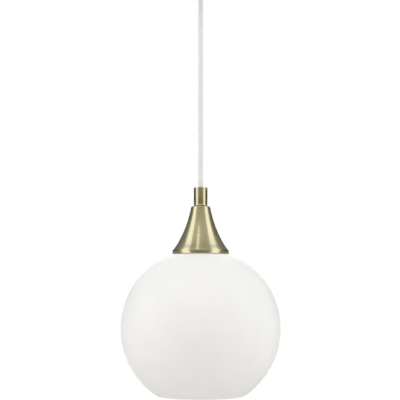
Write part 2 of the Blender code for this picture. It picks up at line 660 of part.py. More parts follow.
# ---------------------------------------------------------------- bulb
def bulb_radius(t):
    """Outside radius of the glass, t from 0 at its neck to 1 where it is widest."""
    neck = 0.0128
    return neck + (BULB_GLASS_R - neck) * (0.5 - 0.5 * math.cos(math.pi * t ** 1.25))


def make_bulb(parent):
    """Opal bulb: hollow envelope, screw cap, insulator and contact tip."""
    neck_z, wide_z, wall = BULB_NECK_Z, BULB_WIDE_Z, 0.0010
    steps = 6
    outer = [(bulb_radius(i / steps), neck_z + (wide_z - neck_z) * i / steps) for i in range(steps + 1)]
    outer += arc(0.0, wide_z, BULB_GLASS_R, 0.0, -90.0, 5)[1:]
    outer[-1] = (0.0, BULB_BOTTOM_Z)
    inner = [(max(0.0, r - wall), z) for r, z in outer[:-1]]
    inner = [(r, z + wall * (1.0 - r / BULB_GLASS_R) if z < wide_z else z) for r, z in inner]
    inner.append((0.0, BULB_BOTTOM_Z + wall))
    add_mesh("bulb_envelope", turned(outer + inner[::-1], SMALL), "bulb_glass", parent, 60.0)

    crest, root, turns, pitch = 0.0131, 0.0122, 5, 0.0036
    top = BULB_CAP_TOP_Z
    outside = [(root - 0.0010, top), (root, top - 0.0008)]
    for i in range(turns):
        z = top - 0.0010 - i * pitch
        outside += [(root, z), (crest, z - 0.5 * pitch)]
    outside += [(root + 0.0002, neck_z + 0.0015), (0.0131, neck_z + GAP)]
    inside = [(0.0123, neck_z + GAP), (0.0116, neck_z + 0.0020), (0.0110, top)]
    add_mesh("bulb_screw_cap", turned(outside + inside, SMALL), "cap_aluminium", parent)

    profile = [(0.0, 0.1010), (0.0052, 0.1010), (0.0100, top + 0.0008), (0.0108, top - 0.0008),
               (0.0, top - 0.0008)]
    add_mesh("bulb_insulator", turned(profile, SMALL), "black_glass", parent)
    profile = [(0.0, BULB_TIP_Z), (0.0025, BULB_TIP_Z - 0.0002), (0.0044, 0.1013), (0.0, 0.1013)]
    add_mesh("bulb_contact_tip", turned(profile, TINY), "contact_brass", parent)


# ---------------------------------------------------------------- assembly
def main():
    clear_scene()
    for name in FINISHES:
        make_finish(name)

    ceiling = empty("ceiling_anchor", 0.0)
    link_pivot = empty("swing_front_pivot", OUTLET_Z - BEND_GAP, ceiling)
    cord_pivot = empty("swing_side_pivot", OUTLET_Z - 2 * BEND_GAP - FLEX_LENGTH, link_pivot)
    lamp = empty("lamp_axis", GLOBE_CENTRE_Z, cord_pivot)
    shade = empty("shade_axis", GLOBE_CENTRE_Z, lamp)
    ring = empty("ring_axis", GLOBE_CENTRE_Z, shade)
    bulb = empty("bulb_axis", GLOBE_CENTRE_Z, lamp)

    make_ceiling_bracket(ceiling)
    make_ceiling_cup(ceiling)
    make_terminal_block(ceiling)
    make_bracket_earth(ceiling)
    make_cord_grip(ceiling)
    make_upper_tail(ceiling)
    make_cord(link_pivot, cord_pivot)
    make_collar(lamp)
    make_trumpet_cap(lamp)
    make_nipple_stack(lamp)
    make_lower_tail(lamp)
    make_lampholder(lamp)
    make_contacts(lamp)
    make_upper_washer(lamp)
    make_globe(shade)
    make_shade_ring(ring)
    make_bulb(bulb)


main()
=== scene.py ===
import json
import math

import bmesh
import bpy
from mathutils import Matrix, Vector


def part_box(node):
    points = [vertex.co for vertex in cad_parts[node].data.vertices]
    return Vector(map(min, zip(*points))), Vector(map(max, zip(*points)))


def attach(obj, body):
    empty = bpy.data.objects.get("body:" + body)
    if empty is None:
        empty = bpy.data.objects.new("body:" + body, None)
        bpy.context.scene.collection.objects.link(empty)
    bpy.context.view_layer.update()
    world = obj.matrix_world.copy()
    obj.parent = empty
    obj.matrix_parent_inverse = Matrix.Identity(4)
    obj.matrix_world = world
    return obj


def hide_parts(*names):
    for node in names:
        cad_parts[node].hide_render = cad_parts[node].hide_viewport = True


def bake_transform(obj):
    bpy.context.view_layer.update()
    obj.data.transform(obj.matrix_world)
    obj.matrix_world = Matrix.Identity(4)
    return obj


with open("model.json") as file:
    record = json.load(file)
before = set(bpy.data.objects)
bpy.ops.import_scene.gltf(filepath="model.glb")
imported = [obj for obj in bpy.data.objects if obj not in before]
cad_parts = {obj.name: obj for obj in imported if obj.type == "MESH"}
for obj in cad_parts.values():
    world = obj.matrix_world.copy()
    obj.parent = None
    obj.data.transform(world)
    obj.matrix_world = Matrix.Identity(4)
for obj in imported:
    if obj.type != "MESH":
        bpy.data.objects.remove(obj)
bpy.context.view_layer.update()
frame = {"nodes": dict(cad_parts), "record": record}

# Pendant ceiling light: opal glass globe under a spun brass trumpet, on a round white cord.
# Metres. Heights of the lamp are above the globe's centre; those of the ceiling end are world heights.

SEAT_Z = 0.0920
GLOBE_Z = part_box("glass_globe")[1].z - SEAT_Z

# ---------------------------------------------------------------- camera
CAMERA_LENS = 91.5
CAMERA_SHIFT_X = -0.0016
CAMERA_SHIFT_Y = 0.05
CAMERA_DISTANCE = 1.2819
CAMERA_RISE = 0.0414
CAMERA_TILT = 4.22

camera_data = bpy.data.cameras.new("camera")
camera_data.sensor_width = 36.0
camera_data.lens = CAMERA_LENS
camera_data.shift_x = CAMERA_SHIFT_X
camera_data.shift_y = CAMERA_SHIFT_Y
camera_data.clip_start = 0.01
camera = bpy.data.objects.new("camera", camera_data)
camera.location = (0.0, -CAMERA_DISTANCE, GLOBE_Z + CAMERA_RISE)
camera.rotation_euler = (math.radians(90.0 + CAMERA_TILT), 0.0, 0.0)
bpy.context.scene.collection.objects.link(camera)
bpy.context.scene.camera = camera


# ---------------------------------------------------------------- materials
def mix_node(tree, factor, low, high):
    """Colour between low and high, each of them a socket or three numbers."""
    mix = tree.nodes.new("ShaderNodeMix")
    mix.data_type = "RGBA"
    tree.links.new(factor, mix.inputs[0])
    for socket, value in ((mix.inputs[6], low), (mix.inputs[7], high)):
        if hasattr(value, "is_linked"):
            tree.links.new(value, socket)
        else:
            socket.default_value = (*value, 1.0)
    return mix.outputs[2]


def map_node(tree, value, low, high, to_low=0.0, to_high=1.0, smooth=False):
    """Maps value from low..high to to_low..to_high, and stops at both ends."""
    mapped = tree.nodes.new("ShaderNodeMapRange")
    if smooth:
        mapped.interpolation_type = "SMOOTHSTEP"
    mapped.inputs["From Min"].default_value = low
    mapped.inputs["From Max"].default_value = high
    mapped.inputs["To Min"].default_value = to_low
    mapped.inputs["To Max"].default_value = to_high
    tree.links.new(value, mapped.inputs["Value"])
    return mapped.outputs["Result"]


def math_node(tree, operation, a, b=0.0):
    """One step of arithmetic on sockets or numbers."""
    node = tree.nodes.new("ShaderNodeMath")
    node.operation = operation
    for socket, value in zip(node.inputs, (a, b)):
        if hasattr(value, "is_linked"):
            tree.links.new(value, socket)
        else:
            socket.default_value = value
    return node.outputs[0]


def noise_node(tree, coords, scale, detail=3.0, rough=0.55):
    noise = tree.nodes.new("ShaderNodeTexNoise")
    noise.inputs["Scale"].default_value = scale
    noise.inputs["Detail"].default_value = detail
    noise.inputs["Roughness"].default_value = rough
    tree.links.new(coords, noise.inputs["Vector"])
    return noise.outputs["Fac"]


def sum_of_products(tree, a, a_times, b, b_times):
    first = math_node(tree, "MULTIPLY", a, a_times)
    return math_node(tree, "ADD", first, math_node(tree, "MULTIPLY", b, b_times))


def object_coords(tree):
    return tree.nodes.new("ShaderNodeTexCoord").outputs["Object"]


def lathe_coords(tree, around=0.03):
    """Coordinates that change with radius and height, and only a little round the axis."""
    split = tree.nodes.new("ShaderNodeSeparateXYZ")
    tree.links.new(object_coords(tree), split.inputs[0])
    x, y, z = split.outputs
    radius = math_node(tree, "SQRT", sum_of_products(tree, x, x, y, y))
    join = tree.nodes.new("ShaderNodeCombineXYZ")
    tree.links.new(math_node(tree, "ADD", radius, math_node(tree, "MULTIPLY", x, around)), join.inputs[0])
    tree.links.new(z, join.inputs[1])
    tree.links.new(math_node(tree, "MULTIPLY", y, around), join.inputs[2])
    return join.outputs[0]


def material(name, low, high, rough, metallic=0.0, mottle=90.0, grain=1800.0, bump=0.00002,
             lathe=0.0, lathe_scale=9000.0, **sockets):
    """Two tones mixed by a coarse pattern, roughness and bump by a fine one, lathe rings if asked."""
    made = bpy.data.materials.new(name)
    made.use_nodes = True
    tree = made.node_tree
    shader = tree.nodes["Principled BSDF"]
    coords = object_coords(tree)
    patch = map_node(tree, noise_node(tree, coords, mottle, 5.0), 0.32, 0.68, smooth=True)
    fine = noise_node(tree, coords, grain, 4.0)
    tree.links.new(mix_node(tree, patch, low, high), shader.inputs["Base Color"])
    height = fine
    if lathe:
        rings = noise_node(tree, lathe_coords(tree), lathe_scale, 3.0, 0.65)
        height = sum_of_products(tree, fine, 1.0 - lathe, rings, lathe)
    spread = sum_of_products(tree, height, 0.6, patch, 0.4)
    tree.links.new(map_node(tree, spread, 0.3, 0.7, *rough), shader.inputs["Roughness"])
    bumped = tree.nodes.new("ShaderNodeBump")
    bumped.inputs["Strength"].default_value = 1.0
    bumped.inputs["Distance"].default_value = bump
    tree.links.new(height, bumped.inputs["Height"])
    tree.links.new(bumped.outputs[0], shader.inputs["Normal"])
    shader.inputs["Metallic"].default_value = metallic
    for socket, value in sockets.items():
        shader.inputs[socket.replace("_", " ")].default_value = value
    return made


def radial_tangent(made):
    """The brushing runs round the Z axis, so highlights stretch along it."""
    tangent = made.node_tree.nodes.new("ShaderNodeTangent")
    tangent.direction_type = "RADIAL"
    tangent.axis = "Z"
    made.node_tree.links.new(tangent.outputs[0], made.node_tree.nodes["Principled BSDF"].inputs["Tangent"])
    return made


BRASS = radial_tangent(material(
    "antique_brass", (0.378, 0.334, 0.168), (0.400, 0.352, 0.180), (0.240, 0.290), metallic=1.0,
    mottle=48.0, grain=2600.0, bump=0.0000012, lathe=0.90, lathe_scale=4200.0, Anisotropic=0.50,
    Coat_Weight=1.0, Coat_Roughness=0.14, Coat_IOR=2.1))
OPAL_FACE = dict(low=(0.858, 0.853, 0.844), high=(0.878, 0.873, 0.865), rough=(0.36, 0.46), mottle=26.0,
                 grain=700.0, bump=0.000006, Specular_IOR_Level=0.18)
OPAL = material("opal_glass", **OPAL_FACE, Subsurface_Weight=0.30, Subsurface_Radius=(1.0, 0.93, 0.86),
                Subsurface_Scale=0.004)
# Painted light: the inside of the shade glows faintly for the light that comes through its wall, which a
# thick opaque shell can't pass on.
PAINTED_GLOW_THROUGH_GLASS = 0.10
OPAL_INSIDE_GLOW = material("opal_glass_inside_painted_glow", **OPAL_FACE, Emission_Color=(1.0, 0.99, 0.97, 1.0),
                       Emission_Strength=PAINTED_GLOW_THROUGH_GLASS)
BULB_OPAL = material(
    "bulb_glass", (0.86, 0.86, 0.84), (0.90, 0.90, 0.885), (0.34, 0.46), mottle=40.0, grain=900.0,
    bump=0.000006, Subsurface_Weight=0.25, Subsurface_Radius=(1.0, 0.95, 0.9), Subsurface_Scale=0.003,
    Specular_IOR_Level=0.4)
SHEATH = material(
    "white_sheath", (0.735, 0.735, 0.732), (0.765, 0.765, 0.762), (0.40, 0.52), mottle=70.0, grain=1100.0,
    bump=0.000006, Specular_IOR_Level=0.45)
MOULDING = material(
    "white_moulding", (0.79, 0.79, 0.775), (0.84, 0.84, 0.825), (0.30, 0.44), mottle=55.0, grain=1600.0,
    bump=0.000015)
CERAMIC = material(
    "ceramic", (0.74, 0.72, 0.66), (0.83, 0.81, 0.76), (0.16, 0.50), mottle=80.0, grain=900.0,
    bump=0.00005, Coat_Weight=0.3, Coat_Roughness=0.12)
SILICONE = material(
    "silicone", (0.72, 0.72, 0.70), (0.80, 0.80, 0.78), (0.50, 0.68), mottle=75.0, grain=2600.0,
    bump=0.00003)
STEEL = material(
    "plated_steel", (0.54, 0.55, 0.56), (0.60, 0.605, 0.61), (0.28, 0.40), metallic=1.0, mottle=110.0,
    grain=2200.0, bump=0.00002)
BRIGHT_BRASS = material(
    "contact_brass", (0.58, 0.43, 0.19), (0.75, 0.58, 0.27), (0.20, 0.40), metallic=1.0, mottle=160.0,
    grain=2400.0, bump=0.00001)
ALUMINIUM = material(
    "cap_aluminium", (0.66, 0.66, 0.66), (0.76, 0.76, 0.755), (0.20, 0.38), metallic=1.0, mottle=120.0,
    grain=2000.0, bump=0.00001, lathe=0.5)
VITRITE = material(
    "black_glass", (0.016, 0.015, 0.020), (0.040, 0.036, 0.046), (0.06, 0.26), mottle=180.0, grain=1200.0,
    bump=0.00003, Coat_Weight=0.4)
BROWN_CORE = material(
    "core_brown", (0.130, 0.052, 0.024), (0.175, 0.072, 0.034), (0.34, 0.50), mottle=120.0, grain=2200.0)
BLUE_CORE = material(
    "core_blue", (0.022, 0.090, 0.340), (0.032, 0.125, 0.420), (0.34, 0.50), mottle=120.0, grain=2200.0)


def striped(name, ground, stripe, rough):
    """Earth insulation: lengthwise stripes where the surface faces up or down at a slant."""
    made = material(name, ground, tuple(1.15 * c for c in ground), rough, mottle=120.0, grain=2200.0)
    tree = made.node_tree
    shader = tree.nodes["Principled BSDF"]
    split = tree.nodes.new("ShaderNodeSeparateXYZ")
    tree.links.new(tree.nodes.new("ShaderNodeTexCoord").outputs["Normal"], split.inputs[0])
    slanted = sum_of_products(tree, split.outputs[2], 0.8, split.outputs[0], 0.6)
    band = map_node(tree, math_node(tree, "ABSOLUTE", slanted), 0.56, 0.62)
    base = shader.inputs["Base Color"].links[0].from_socket
    tree.links.new(mix_node(tree, band, base, stripe), shader.inputs["Base Color"])
    return made


GREEN_CORE = striped("core_green", (0.035, 0.200, 0.040), (0.78, 0.62, 0.03), (0.34, 0.50))

SLOTS = {
    "antique_brass": BRASS, "contact_brass": BRIGHT_BRASS, "plated_steel": STEEL, "opal_glass": OPAL,
    "bulb_glass": BULB_OPAL, "white_sheath": SHEATH, "core_brown": BROWN_CORE, "core_blue": BLUE_CORE,
    "core_green": GREEN_CORE, "white_moulding": MOULDING, "ceramic": CERAMIC, "silicone": SILICONE,
    "cap_aluminium": ALUMINIUM, "black_glass": VITRITE,
}


# ---------------------------------------------------------------- shapes
def arc(centre_r, centre_z, radius, start_deg, end_deg, steps):
    """Outline points (r, z) along an arc, both ends included."""
    return [(centre_r + radius * math.cos(math.radians(start_deg + (end_deg - start_deg) * i / steps)),
             centre_z + radius * math.sin(math.radians(start_deg + (end_deg - start_deg) * i / steps)))
            for i in range(steps + 1)]


def rounded(corners, steps=4):
    """A closed outline whose corners (r, z, radius) are rounded; two numbers keep a point as it is."""
    outline = []
    for i, corner in enumerate(corners):
        here = Vector(corner[:2])
        if len(corner) == 2:
            outline.append((here.x, here.y))
            continue
        before = Vector(corners[i - 1][:2]) - here
        after = Vector(corners[(i + 1) % len(corners)][:2]) - here
        reach = corner[2] / math.tan(before.angle(after) / 2)
        reach = min(reach, 0.48 * before.length, 0.48 * after.length)
        first, last = here + before.normalized() * reach, here + after.normalized() * reach
        for k in range(steps + 1):
            t = k / steps
            point = first * (1 - t) ** 2 + here * (2 * t * (1 - t)) + last * t * t
            outline.append((point.x, point.y))
    return outline


def turned(profile, sides, ripple=None, lift=0.0):
    """A closed solid of revolution about Z; ripple(angle, r, z) gives another radius at that angle."""
    builder = bmesh.new()
    rings = []
    for r, z in profile:
        if r < 1e-7:
            rings.append([builder.verts.new((0.0, 0.0, z + lift))])
            continue
        ring = []
        for k in range(sides):
            angle = 2.0 * math.pi * k / sides
            radius = ripple(angle, r, z) if ripple else r
            ring.append(builder.verts.new((radius * math.cos(angle), radius * math.sin(angle), z + lift)))
        rings.append(ring)
    for i, ring in enumerate(rings):
        following = rings[(i + 1) % len(rings)]
        for k in range(sides):
            n = (k + 1) % sides
            if len(ring) == 1 and len(following) == 1:
                continue
            if len(ring) == 1:
                builder.faces.new((ring[0], following[k], following[n]))
            elif len(following) == 1:
                builder.faces.new((ring[k], following[0], ring[n]))
            else:
                builder.faces.new((ring[k], following[k], following[n], ring[n]))
    return builder


def add_mesh(name, builder, look, sharp_deg=32.0):
    """Makes the shape an object with smooth faces, and sharp edges where it turns by more than sharp_deg."""
    bmesh.ops.recalc_face_normals(builder, faces=builder.faces)
    mesh = bpy.data.meshes.new(name)
    builder.to_mesh(mesh)
    builder.free()
    mesh.shade_smooth()
    mesh.set_sharp_from_angle(angle=math.radians(sharp_deg))
    mesh.materials.append(look)
    piece = bpy.data.objects.new(name, mesh)
    bpy.context.scene.collection.objects.link(piece)
    return piece


def cut(piece, builders, sharp_deg=32.0):
    """Cuts the closed shapes out of the piece, and keeps only the resulting mesh."""
    for builder in builders:
        cutter = add_mesh("cutter", builder, piece.data.materials[0])
        boolean = piece.modifiers.new("cut", "BOOLEAN")
        boolean.operation = "DIFFERENCE"
        boolean.solver = "EXACT"
        boolean.object = cutter
        evaluated = piece.evaluated_get(bpy.context.evaluated_depsgraph_get())
        mesh = bpy.data.meshes.new_from_object(evaluated)
        piece.modifiers.clear()
        piece.data = mesh
        bpy.data.objects.remove(cutter)
    piece.data.shade_smooth()
    piece.data.set_sharp_from_angle(angle=math.radians(sharp_deg))
    return piece


def fit(piece, body, slot, *nodes):
    """Puts a piece on its body, in place of the CAD nodes that it shows in finer detail."""
    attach(piece, body)
    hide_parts(*nodes)


def placed(builder, direction, place):
    """Turns a shape made on +Z to point along direction from place."""
    turn = Vector(direction).to_track_quat("Z", "Y").to_matrix().to_4x4()
    bmesh.ops.transform(builder, matrix=Matrix.Translation(Vector(place)) @ turn, verts=builder.verts)
    return builder


def block(x_half, y_half, z_low, z_high):
    """A cutter for screw slots."""
    builder = bmesh.new()
    bmesh.ops.create_cube(builder, size=1.0)
    scale = Matrix.Diagonal((2 * x_half, 2 * y_half, z_high - z_low, 1.0))
    bmesh.ops.transform(builder, matrix=Matrix.Translation((0, 0, (z_low + z_high) / 2)) @ scale,
                        verts=builder.verts)
    return builder


def pin(radius, low, high, sides=32, lift=0.0):
    return turned([(0.0, low), (radius, low), (radius, high), (0.0, high)], sides, lift=lift)


def prism(low_end, high_end):
    """A straight solid between two equal outlines."""
    builder = bmesh.new()
    ends = [[builder.verts.new(point) for point in end] for end in (low_end, high_end)]
    builder.faces.new(ends[0])
    builder.faces.new(ends[1][::-1])
    for k in range(len(low_end)):
        n = (k + 1) % len(low_end)
        builder.faces.new((ends[0][k], ends[0][n], ends[1][n], ends[1][k]))
    return builder


def spline(knots, spacing):
    """Points about `spacing` apart on a Catmull-Rom curve through the knots."""
    knots = [Vector(k) for k in knots]
    padded = [2 * knots[0] - knots[1], *knots, 2 * knots[-1] - knots[-2]]
    points = [knots[0]]
    for a, b, c, d in zip(padded, padded[1:], padded[2:], padded[3:]):
        steps = max(2, round((c - b).length / spacing))
        for i in range(1, steps + 1):
            t = i / steps
            points.append(0.5 * (2 * b + (c - a) * t + (2 * a - 5 * b + 4 * c - d) * t * t
                                 + (3 * b - a - 3 * c + d) * t * t * t))
    return points


def tube_mesh(name, route, radius, look, sides=32):
    """A round tube with flat ends; its rings turn no more than the route does."""
    places = [Vector(p) for p in route]
    builder = bmesh.new()
    rings = []
    side = (places[1] - places[0]).orthogonal().normalized()
    for i, here in enumerate(places):
        ahead = (places[min(i + 1, len(places) - 1)] - places[max(i - 1, 0)]).normalized()
        side = (side - side.dot(ahead) * ahead).normalized()
        other = ahead.cross(side)
        rings.append([builder.verts.new(here + radius * (math.cos(2 * math.pi * k / sides) * side
                                                         + math.sin(2 * math.pi * k / sides) * other))
                      for k in range(sides)])
    for low, high in zip(rings, rings[1:]):
        for k in range(sides):
            n = (k + 1) % sides
            builder.faces.new((low[k], low[n], high[n], high[k]))
    builder.faces.new(rings[0][::-1])
    builder.faces.new(rings[-1])
    return add_mesh(name, builder, look)


# ---------------------------------------------------------------- cord
CLEAR = 0.0003                      # between pieces that stand apart
CORD_R = 0.0030
CORD_TOP_Z = -0.0519
CORD_JOIN_Z = -0.0620
CORD_STEP = 0.0008
COLLAR_TOP = 0.1768
COLLAR_TOP_Z = GLOBE_Z + COLLAR_TOP


def straight_route(start_z, end_z, spacing):
    """Points down the cord's axis, about `spacing` apart."""
    steps = round((start_z - end_z) / spacing)
    return [(0, 0, start_z + (end_z - start_z) * i / steps) for i in range(steps + 1)]


bend_route = straight_route(CORD_TOP_Z, CORD_JOIN_Z, CORD_STEP)
cord_route = straight_route(CORD_JOIN_Z, COLLAR_TOP_Z - 0.0001, 2 * CORD_STEP)

cord_bend = tube_mesh("cord_bend_top", bend_route, CORD_R, SHEATH)
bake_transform(cord_bend)
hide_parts("cord_flex_link")
cord = tube_mesh("pendant_cord", cord_route, CORD_R, SHEATH)
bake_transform(cord)
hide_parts("suspension_cord")

# ---------------------------------------------------------------- cap and collar
CAP_TOP_Z = 0.1539
CAP_NECK_R = 0.0125
CAP_NECK_Z = 0.1506
CAP_FLARE_Z = 0.0980
CAP_FLARE_GAIN = 0.0093
CAP_FLARE_BEND = 1.245
CAP_LIP_R = 0.0360
CAP_LIP_Z = 0.0924
CAP_LIP_HIGH = 0.0970
CAP_WALL = 0.0010
CAP_STEPS = 40
THREAD_R = 0.00485
THREAD_HOLE_R = 0.0052

COLLAR_R = 0.00875
COLLAR_FOOT = CAP_TOP_Z + CLEAR
COLLAR_STEP = 0.1672                # cord bore above, threaded bore below
COLLAR_SCREW = 0.1722
GROOVE = 0.1584
GROOVE_HALF, GROOVE_FLOOR_HALF, GROOVE_DEPTH = 0.00028, 0.00010, 0.00035
GRUB_HOLE_R = 0.0017


def flare_radius(z):
    """The cap's outside between its neck and its lip: an exponential flare."""
    t = (CAP_NECK_Z - z) / (CAP_NECK_Z - CAP_FLARE_Z)
    return CAP_NECK_R + CAP_FLARE_GAIN * (math.exp(CAP_FLARE_BEND * t) - 1.0)


def make_cap():
    """Spun trumpet with a rounded top edge and a short upright lip that is open below."""
    heights = [CAP_NECK_Z + (CAP_FLARE_Z - CAP_NECK_Z) * i / CAP_STEPS for i in range(1, CAP_STEPS + 1)]
    top_edge = CAP_TOP_Z - CAP_NECK_Z
    flare_end = heights[-2]
    lip_bend = rounded([(flare_radius(flare_end), flare_end), (CAP_LIP_R, CAP_LIP_HIGH, 0.0060),
                        (CAP_LIP_R, 0.0930)], 12)
    outside = arc(CAP_NECK_R - top_edge, CAP_NECK_Z, top_edge, 90.0, 0.0, 10)
    outside += [(flare_radius(z), z) for z in heights[:-2]] + lip_bend[1:-1]
    outside += [(CAP_LIP_R, 0.0930), (CAP_LIP_R - 0.0001, 0.0926), (CAP_LIP_R - 0.0003, CAP_LIP_Z)]
    lip_inside = CAP_LIP_R - CAP_WALL
    inside = [(lip_inside + 0.0002, CAP_LIP_Z), (lip_inside, 0.0926), (lip_inside, 0.0956)]
    inside += [(flare_radius(z) - CAP_WALL, z) for z in reversed(heights)]
    neck_inside = CAP_NECK_R - CAP_WALL
    inside += [(neck_inside, CAP_TOP_Z - 0.0025), (neck_inside - 0.0008, CAP_TOP_Z - 0.0015),
               (THREAD_HOLE_R, CAP_TOP_Z - 0.0015)]
    profile = [(THREAD_HOLE_R, CAP_TOP_Z)] + outside + inside
    cap = add_mesh("trumpet_cap_spun", turned(profile, 192, lift=GLOBE_Z), BRASS, 40.0)
    fit(cap, "lamp", "antique_brass", "trumpet_cap")


def make_collar():
    """Turned tube over the cap, with a fine groove near its foot and a grub screw's hole behind."""
    profile = rounded([
        (CORD_R + CLEAR, COLLAR_TOP, 0.0003), (COLLAR_R, COLLAR_TOP, 0.0003),
        (COLLAR_R, GROOVE + GROOVE_HALF), (COLLAR_R - GROOVE_DEPTH, GROOVE + GROOVE_FLOOR_HALF),
        (COLLAR_R - GROOVE_DEPTH, GROOVE - GROOVE_FLOOR_HALF), (COLLAR_R, GROOVE - GROOVE_HALF),
        (COLLAR_R, COLLAR_FOOT + 0.0012, 0.0008), (COLLAR_R + 0.0005, COLLAR_FOOT, 0.0001),
        (THREAD_HOLE_R, COLLAR_FOOT), (THREAD_HOLE_R, COLLAR_STEP), (CORD_R + CLEAR, COLLAR_STEP)])
    collar = add_mesh("cord_collar_turned", turned(profile, 128, lift=GLOBE_Z), BRASS, 30.0)
    hole = placed(pin(GRUB_HOLE_R, 0.0, 0.0100, 24), (0, 1, 0), (0, 0.0010, GLOBE_Z + COLLAR_SCREW))
    cut(collar, [hole], 30.0)
    fit(collar, "lamp", "antique_brass", "cord_collar")


make_cap()
make_collar()

# ---------------------------------------------------------------- globe
GLOBE_R = 0.1000
GLASS = 0.0030
MOUTH_Z = -0.0835
HOLE_R = 0.0212
UNDER_SEAT_Z = SEAT_Z - 0.0035
GLASS_EDGE = 0.0009


def make_globe():
    """Blown ball with a flat seat and hole on top, and a mouth cut straight below."""
    def latitude(z, radius):
        return math.degrees(math.asin(z / radius))

    inner_r = GLOBE_R - GLASS
    outside = arc(0, 0, GLOBE_R, latitude(SEAT_Z, GLOBE_R), latitude(MOUTH_Z, GLOBE_R), 96)
    inside = arc(0, 0, inner_r, latitude(MOUTH_Z, inner_r), latitude(UNDER_SEAT_Z, inner_r), 72)
    profile = rounded(
        [(*outside[0], GLASS_EDGE)] + outside[2:-2]
        + [(*outside[-1], GLASS_EDGE), (*inside[0], GLASS_EDGE)] + inside[2:-1]
        + [(*inside[-1], 0.0008), (HOLE_R, UNDER_SEAT_Z, GLASS_EDGE), (HOLE_R, SEAT_Z, GLASS_EDGE)])
    globe = add_mesh("glass_globe_blown", turned(profile, 192, lift=GLOBE_Z), OPAL, 50.0)
    # Painted light: the inner faces get the faintly glowing opal, which stands in for light through the
    # wall.
    globe.data.materials.append(OPAL_INSIDE_GLOW)
    for face in globe.data.polygons:
        offset = face.center - Vector((0.0, 0.0, GLOBE_Z))
        face.material_index = 1 if offset.length < GLOBE_R - 0.9 * GLASS else 0
    fit(globe, "shade", "opal_glass", "glass_globe")


make_globe()

# ---------------------------------------------------------------- lampholder, shade ring, washers
PITCH = 0.0025
SKIRT_R = 0.0194
SKIRT_INNER_R = 0.0176
SKIRT_LOW, SKIRT_HIGH = 0.0740, 0.1187
SHOULDER_R, SHOULDER_LOW, SHOULDER_HIGH = 0.0240, 0.0950, 0.0975
RING_BORE_R = 0.0201
RING_LOW, RING_FLANGE_LOW, RING_HIGH = 0.0750, 0.0838, 0.0861
RING_FLANGE_R, RING_BODY_R = 0.0265, 0.0236
RING_LOBES = 12
LOBE_DEPTH = 0.0007
LOBE_BLEND = 0.0012                 # how far into the ring's edges the flutes fade out


def thread(root, crest, pitch, low, high):
    """A ripple that winds a round-topped thread between two heights and fades at its ends."""
    def ripple(angle, r, z):
        if not (low < z < high and min(root, crest) - 1e-6 < r < max(root, crest) + 1e-6):
            return r
        turn = (z - low) / pitch - angle / (2 * math.pi)
        tooth = (0.5 - 0.5 * math.cos(2 * math.pi * turn)) ** 1.4
        fade = min(1.0, (z - low) / pitch, (high - z) / pitch)
        return root + (crest - root) * tooth * fade
    return ripple


def ladder(r, start, end, rise):
    """Points up or down a wall, close enough together for a thread to show."""
    steps = max(1, round(abs(end - start) / rise))
    return [(r, start + (end - start) * i / steps) for i in range(steps + 1)]


def make_skirt():
    """The lampholder's outer body: a threaded tube with the shoulder that the shade stands against."""
    root = SKIRT_R - 0.0006
    profile = rounded([
        (SKIRT_INNER_R, SKIRT_HIGH), (SKIRT_R, SKIRT_HIGH), (SKIRT_R, SHOULDER_HIGH),
        (SHOULDER_R, SHOULDER_HIGH, 0.0005), (SHOULDER_R, SHOULDER_LOW, 0.0005)]
        + ladder(root, SHOULDER_LOW, SKIRT_LOW + 0.0008, PITCH / 9)
        + [(root - 0.0001, SKIRT_LOW, 0.0005), (SKIRT_INNER_R - 0.0010, SKIRT_LOW, 0.0004),
           (SKIRT_INNER_R - 0.0010, SKIRT_LOW + 0.0020), (SKIRT_INNER_R, SKIRT_LOW + 0.0024)])
    ripple = thread(root, SKIRT_R, PITCH, SKIRT_LOW + 0.0009, SHOULDER_LOW - 0.0002)
    skirt = add_mesh("holder_skirt_threaded", turned(profile, 128, ripple, lift=GLOBE_Z), MOULDING, 45.0)
    fit(skirt, "lamp", "white_moulding", "holder_skirt")


def make_ring():
    """The ring that holds the shade: finger flutes outside, a thread inside."""
    inner_thread = thread(RING_BORE_R, RING_BORE_R - 0.0004, PITCH, RING_LOW + 0.0008, RING_HIGH - 0.0005)

    def shape(angle, r, z):
        if r < RING_BORE_R + 1e-6:
            return inner_thread(angle, r, z)
        if r > RING_BODY_R + 1e-6 or r < RING_BODY_R - LOBE_BLEND:
            return r
        share = (r - RING_BODY_R + LOBE_BLEND) / LOBE_BLEND
        return r - share * LOBE_DEPTH * (0.5 - 0.5 * math.cos(RING_LOBES * angle)) ** 0.6

    profile = rounded(
        [(RING_BORE_R, RING_HIGH), (RING_FLANGE_R, RING_HIGH, 0.0004),
         (RING_FLANGE_R, RING_FLANGE_LOW, 0.0008), (RING_BODY_R, RING_FLANGE_LOW, 0.0003)]
        + ladder(RING_BODY_R, RING_FLANGE_LOW - 0.0006, RING_LOW + 0.0012, 0.0011)
        + [(RING_BODY_R, RING_LOW, 0.0009), (RING_BODY_R - 0.0016, RING_LOW, 0.0001),
           (RING_BODY_R - 0.0018, RING_LOW + 0.0003, 0.0001),
           (RING_BODY_R - 0.0021, RING_LOW + 0.0003, 0.0001),
           (RING_BODY_R - 0.0023, RING_LOW, 0.0001), (RING_BORE_R + 0.0001, RING_LOW, 0.0004)]
        + ladder(RING_BORE_R, RING_LOW + 0.0006, RING_HIGH - 0.0003, PITCH / 8))
    ring = add_mesh("shade_ring_moulded", turned(profile, 16 * RING_LOBES, shape, lift=GLOBE_Z),
                    MOULDING, 45.0)
    fit(ring, "ring", "white_moulding", "shade_ring")


def make_washer(name, body, outer, inner, low, high):
    """A flat silicone ring with soft edges."""
    profile = rounded([(inner, high, 0.0004), (outer, high, 0.0007), (outer, low, 0.0007),
                       (inner, low, 0.0004)])
    washer = add_mesh(name + "_moulded", turned(profile, 96, lift=GLOBE_Z), SILICONE)
    fit(washer, body, "silicone", name)


